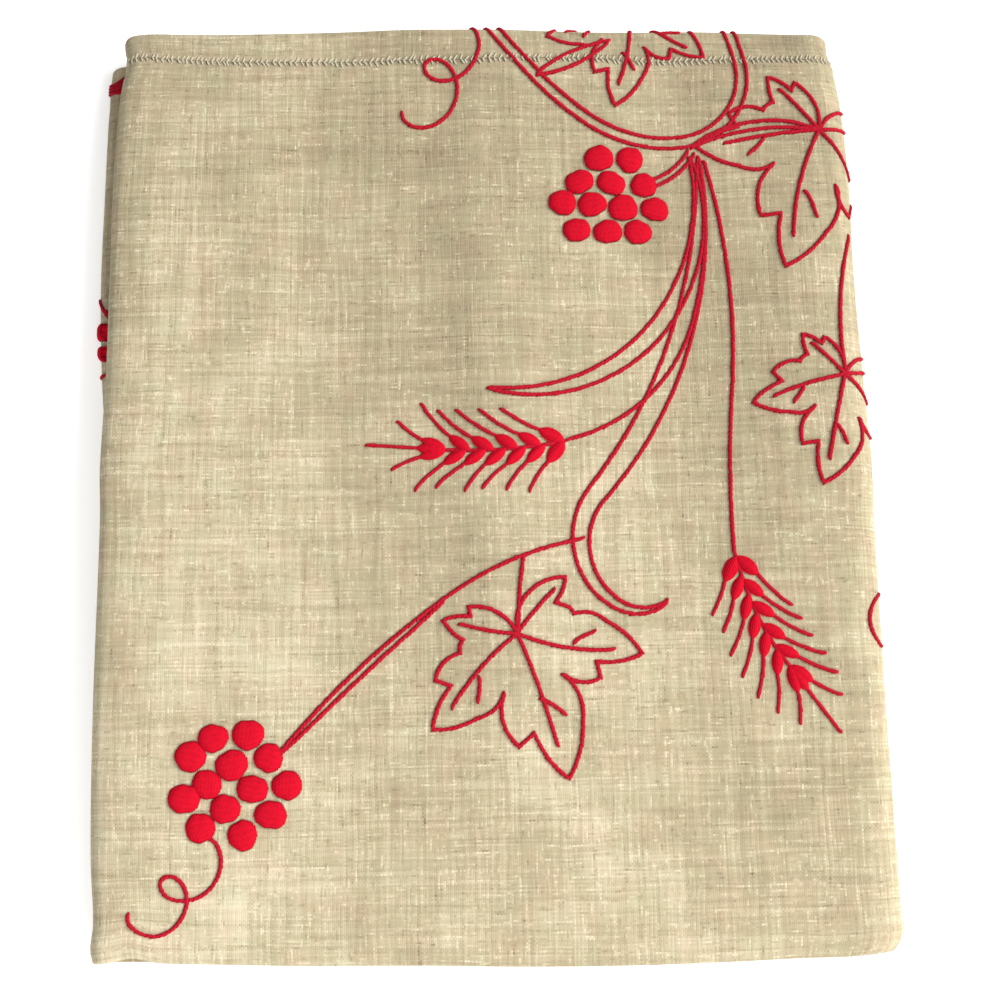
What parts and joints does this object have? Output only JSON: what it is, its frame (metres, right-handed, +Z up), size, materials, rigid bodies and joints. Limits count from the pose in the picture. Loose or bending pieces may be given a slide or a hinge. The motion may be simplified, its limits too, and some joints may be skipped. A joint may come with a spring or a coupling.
{
  "type": "embroidered tablecloth",
  "caption": "Natural linen tablecloth with a faggoted centre seam and red vine, grape and wheat embroidery, folded flat for the cupboard.",
  "frame": {"origin": "on the surface that the folded cloth rests on, under the middle of its bounding box", "axes": "+Z up through the layers, +Y along the long side towards the end near the seam, +X across to the wide turn"},
  "size_m": [0.3116, 0.3774, 0.0227],
  "materials": {
    "linen": "matt plain-weave natural flax with slubs",
    "embroidery_cotton": "soft-lustre red stranded cotton",
    "seam_cotton": "soft-lustre cream cotton"
  },
  "bodies": {
    "root": {"front_linen_width": "linen", "back_linen_width": "linen"}
  },
  "joints": []
}
